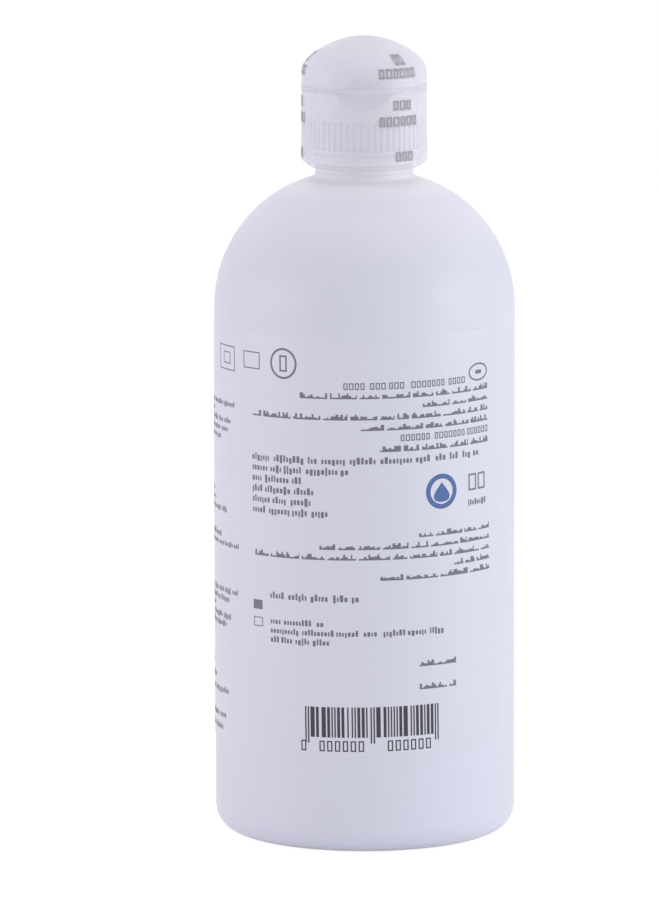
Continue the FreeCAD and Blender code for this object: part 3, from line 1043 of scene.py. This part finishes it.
# Waves round the film's edges: share, waves in a turn and phase
FOLD_WAVES = ((1.0, 31, 0.7), (0.8, 43, 2.1), (0.6, 19, 0.0))
FOLD_DEPTH = 0.075 * MM
FOLD_MEAN = 1.2
FOLD_TOP = CAP_BOTTOM + 1.6 * MM
RIPPLE_WAVES = ((1.0, 17, 1.1), (0.7, 29, 0.0))
RIPPLE_DEPTH = 0.02 * MM
RIPPLE_MEAN = 1.7
RIPPLE_START = FILM_TOP - 1.2 * MM
DRAWN_DEPTH = 0.13 * MM
DRAWN_START = FILM_TOP - 1.6 * MM
CREASE_DEPTH = 0.25 * MM
CREASE_ANGLE = 24.0
CREASE_HALF_ANGLE = 9.0
CREASE_HEIGHT = CAP_BOTTOM - 0.3 * MM
CREASE_HALF_HEIGHT = 0.5 * MM


def waves(table, turn):
    return sum(share * math.sin(count * turn + phase) for share, count, phase in table)


def pucker(angle, z):
    """How far the shrunk film stands off its smooth line.

    It puckers and has one deeper crease at its drawn-in lower edge. At its upper edge it is drawn in
    and ripples.
    """
    turn = math.radians(angle)
    folds = (1 - smoothstep(z, FILM_BOTTOM, FOLD_TOP)) * (waves(FOLD_WAVES, turn) + FOLD_MEAN)
    ripples = smoothstep(z, RIPPLE_START, FILM_TOP) * (waves(RIPPLE_WAVES, turn) + RIPPLE_MEAN)
    drawn = smoothstep(z, DRAWN_START, FILM_TOP)
    across = (angle - CREASE_ANGLE) / CREASE_HALF_ANGLE
    up = (z - CREASE_HEIGHT) / CREASE_HALF_HEIGHT
    crease = math.exp(-(across**2)) * math.exp(-(up**2))
    return FOLD_DEPTH * folds + RIPPLE_DEPTH * ripples - DRAWN_DEPTH * drawn + CREASE_DEPTH * crease


def on_film(angle, radius, z):
    """A point of the puckered film, from its smooth radius."""
    return polar(angle, radius + pucker(angle, z), z)


def film_piece(name, rows, window, body, node_name):
    """A part of the sleeve, round the cap, with the window that the folding patch fills left open."""
    out = 360.0 - 2 * WINDOW_HALF
    first = WINDOW_MIDDLE + WINDOW_HALF
    columns = [first + out * step / AROUND_STEPS for step in range(AROUND_STEPS)]
    columns += [first + out + 2 * WINDOW_HALF * step / WINDOW_STEPS for step in range(WINDOW_STEPS)]
    verts = [on_film(angle, r, z) for angle in columns for r, z in rows]
    faces = []
    height = len(rows)
    for column in range(len(columns)):
        after = (column + 1) % len(columns)
        for row in range(height - 1):
            middle = (rows[row][1] + rows[row + 1][1]) / 2
            if column >= AROUND_STEPS and window[0] < middle < window[1]:
                continue
            a, b = column * height + row, after * height + row
            faces.append((a, b, b + 1, a + 1))
    kept = sorted({index for face in faces for index in face})
    renumber = {old: new for new, old in enumerate(kept)}
    verts = [verts[index] for index in kept]
    faces = [tuple(renumber[index] for index in face) for face in faces]
    piece = link(name, *shell(verts, faces, FILM_SHEET), FILM)
    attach(piece, body)
    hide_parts(node_name)


PATCH_COLUMNS = 36
PRESS_LEAST = 0.3 * MM
PRESS_SLOPE = math.tan(math.radians(15.0))
PRESS_BLEND = 0.1 * MM


def soft_least(a, b, blend):
    """The lesser of two lengths, rounded over where they meet."""
    t = min(1.0, max(0.0, 0.5 + (b - a) / (2 * blend)))
    return b * (1 - t) + a * t - blend * t * (1 - t)


def fold(piece):
    """Bakes a piece's placing into its mesh."""
    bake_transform(piece)


def folding_patch(low, high):
    """The film over the hinge, drawn in against it."""
    lower = [row for row in LOWER_ROWS if row[1] > low]
    upper = [row for row in UPPER_ROWS if row[1] < high]
    rows = lower + [(lower[-1][0], SEAM)] + upper
    verts = []
    for column in range(PATCH_COLUMNS + 1):
        angle = WINDOW_MIDDLE - WINDOW_HALF + 2 * WINDOW_HALF * column / PATCH_COLUMNS
        for r, z in rows:
            point = on_film(angle, r, z)
            limit = HINGE[1] + max(PRESS_LEAST, PRESS_SLOPE * abs(z - HINGE[2]))
            point.y = soft_least(point.y, limit, PRESS_BLEND)
            verts.append(point)
    faces = grid_faces(PATCH_COLUMNS + 1, len(rows))
    patch = link("sleeve_fold", *shell(verts, faces, FILM_SHEET), FILM)
    fold(patch)
    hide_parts("sleeve_hinge_film")


film_piece("sleeve_skirt", LOWER_ROWS, (PATCH_LOW[2], PARTING), "cap", "sleeve_lower")
film_piece("sleeve_top", UPPER_ROWS, (LID_BOTTOM - MM, PATCH_HIGH[2]), "lid", "sleeve_upper")
folding_patch(PATCH_LOW[2], PATCH_HIGH[2])

SLEEVE_COLUMNS = (35.5, 152.5, 269.5)
SLEEVE_SIZE = 3.1 * MM
SLEEVE_SEED = 8
# Blank words: height of their middle over the parting line and length, in mm, and turn from their column
SKIRT_WORDS = ((-3.2, 5.4, 3.0), (-6.9, 10.8, 0.0), (-15.1, 5.4, 5.0))
TOP_WORDS = ((4.2, 10.8, -0.5), (7.2, 4.4, 6.0))


def sleeve_words(name, rows, words, body):
    """Blank words on the sleeve, in columns."""
    rng = random.Random(SLEEVE_SEED)
    ink = Print(lambda angle, z: on_film(angle, film_radius(rows, z) + INK_LIFT, z), FILM_RADIUS)
    for column in SLEEVE_COLUMNS:
        for rise, length, turn in words:
            start = column + turn - ink.degrees(length * MM / 2)
            bottom = PARTING + rise * MM - SLEEVE_SIZE * BOX_HEIGHT / 2
            bold_word(ink, start, bottom, length * MM, SLEEVE_SIZE, rng)
    ink.finish(name, SLEEVE_INK, body)


sleeve_words("sleeve_skirt_words", LOWER_ROWS, SKIRT_WORDS, "cap")
sleeve_words("sleeve_top_words", UPPER_ROWS, TOP_WORDS, "lid")


# Hinge

WEB_ROWS = 24
STRAP_ROWS = 36


def folding_copy(node_name, rows):
    """A copy of a CAD piece of the hinge, cut into more rows across its height."""
    copy = bpy.data.objects.new(node_name + "_fold", frame["nodes"][node_name].data.copy())
    bpy.context.scene.collection.objects.link(copy)
    copy.data.materials.clear()
    copy.data.materials.append(CAP)
    work = bmesh.new()
    work.from_mesh(copy.data)
    low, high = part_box(node_name)[0][2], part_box(node_name)[1][2]
    for row in range(1, rows):
        z = low + (high - low) * row / rows
        geometry = work.verts[:] + work.edges[:] + work.faces[:]
        bmesh.ops.bisect_plane(work, geom=geometry, plane_co=(0, 0, z), plane_no=(0, 0, 1))
    work.to_mesh(copy.data)
    work.free()
    fold(copy)
    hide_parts(node_name)


folding_copy("hinge_webs", WEB_ROWS)
folding_copy("hinge_strap", STRAP_ROWS)


# Studio

WHITE = (1.0, 1.0, 1.0, 1.0)
BACKDROP_STRENGTH = 1.0
WORLD_LIGHT = 0.57
WORLD_COLOUR = (0.985, 0.98, 1.0, 1.0)
FLOOR_COLOUR = (0.95, 0.95, 0.95, 1.0)
FLOOR_SHOWN = 0.8
FLOOR_STRENGTH = 1.14
FLOOR_HALF = 8.0
LIGHT_MIDDLE = Vector((0.0, 0.0, 0.09))
# Softboxes: place, size, power and colour
SOFTBOXES = {
    "right_softbox": ((1.12, -0.36, 0.3), (1.0, 0.6), 5.3, (0.935, 0.98, 1.0)),
    "left_softbox": ((-1.15, -0.35, 0.3), (1.0, 0.6), 3.55, (0.935, 0.94, 1.0)),
    "top_softbox": ((0.0, 0.1, 1.2), (1.2, 1.2), 2.15, (0.92, 0.89, 1.0)),
}


def shown_directly(nodes, links):
    """1 for rays that show the backdrop itself or mirror it, and 0 for rays that gather light."""
    path = nodes.new("ShaderNodeLightPath")
    total = path.outputs["Is Camera Ray"]
    for output in ("Is Glossy Ray", "Is Transmission Ray"):
        node = nodes.new("ShaderNodeMath")
        node.operation = "MAXIMUM"
        links.new(total, node.inputs[0])
        links.new(path.outputs[output], node.inputs[1])
        total = node.outputs[0]
    return total


def make_world():
    """Even light from all round, with a white backdrop."""
    world = bpy.data.worlds.new("studio")
    bpy.context.scene.world = world
    world.use_nodes = True
    nodes, links = world.node_tree.nodes, world.node_tree.links
    shown = nodes.new("ShaderNodeBackground")
    shown.inputs["Strength"].default_value = BACKDROP_STRENGTH
    shown.inputs["Color"].default_value = WHITE
    light = nodes["Background"]
    light.inputs["Color"].default_value = WORLD_COLOUR
    light.inputs["Strength"].default_value = WORLD_LIGHT
    mix = nodes.new("ShaderNodeMixShader")
    links.new(shown_directly(nodes, links), mix.inputs[0])
    links.new(light.outputs[0], mix.inputs[1])
    links.new(shown.outputs[0], mix.inputs[2])
    links.new(mix.outputs[0], nodes["World Output"].inputs[0])


def make_floor():
    """A white floor that keeps the bottle's shadow."""
    material = bpy.data.materials.new("studio_floor")
    material.use_nodes = True
    nodes, links = material.node_tree.nodes, material.node_tree.links
    nodes.remove(nodes["Principled BSDF"])
    diffuse = nodes.new("ShaderNodeBsdfDiffuse")
    diffuse.inputs["Color"].default_value = FLOOR_COLOUR
    shown = nodes.new("ShaderNodeEmission")
    shown.inputs["Strength"].default_value = FLOOR_STRENGTH
    share = nodes.new("ShaderNodeMath")
    share.operation = "MULTIPLY"
    share.inputs[1].default_value = FLOOR_SHOWN
    links.new(shown_directly(nodes, links), share.inputs[0])
    mix = nodes.new("ShaderNodeMixShader")
    links.new(share.outputs[0], mix.inputs[0])
    links.new(diffuse.outputs[0], mix.inputs[1])
    links.new(shown.outputs[0], mix.inputs[2])
    links.new(mix.outputs[0], nodes["Material Output"].inputs[0])
    half = FLOOR_HALF
    corners = [(-half, -half, 0), (half, -half, 0), (half, half, 0), (-half, half, 0)]
    link("floor", corners, [(0, 1, 2, 3)], material)


def make_lights():
    for name, (place, size, power, colour) in SOFTBOXES.items():
        lamp = bpy.data.lights.new(name, "AREA")
        lamp.shape = "RECTANGLE"
        lamp.size, lamp.size_y = size
        lamp.energy = power
        lamp.color = colour
        obj = bpy.data.objects.new(name, lamp)
        obj.location = place
        obj.rotation_euler = (LIGHT_MIDDLE - Vector(place)).to_track_quat("-Z", "Y").to_euler()
        obj.visible_camera = False
        bpy.context.scene.collection.objects.link(obj)


CAMERA_DISTANCE = 2.0
CAMERA_ELEVATION = math.radians(8.7)
CAMERA_CENTRE = Vector((0.0, 0.0, 0.1))
CAMERA_AIM = Vector((-0.00809, 0.0, 0.08942))
CAMERA_ROLL = math.radians(-0.11)
CAMERA_LENS = 342.9
SENSOR_HEIGHT = 36.0


def make_camera():
    camera = bpy.data.cameras.new("camera")
    camera.sensor_fit = "VERTICAL"
    camera.sensor_height = SENSOR_HEIGHT
    camera.lens = CAMERA_LENS
    obj = bpy.data.objects.new("camera", camera)
    back = Vector((0.0, -math.cos(CAMERA_ELEVATION), math.sin(CAMERA_ELEVATION)))
    obj.location = CAMERA_CENTRE + back * CAMERA_DISTANCE
    aim = (CAMERA_AIM - obj.location).to_track_quat("-Z", "Y")
    obj.rotation_mode = "QUATERNION"
    obj.rotation_quaternion = aim @ Quaternion((0.0, 0.0, 1.0), CAMERA_ROLL)
    bpy.context.scene.collection.objects.link(obj)
    bpy.context.scene.camera = obj


make_world()
make_floor()
make_lights()
make_camera()
bpy.context.scene.view_settings.view_transform = "Standard"
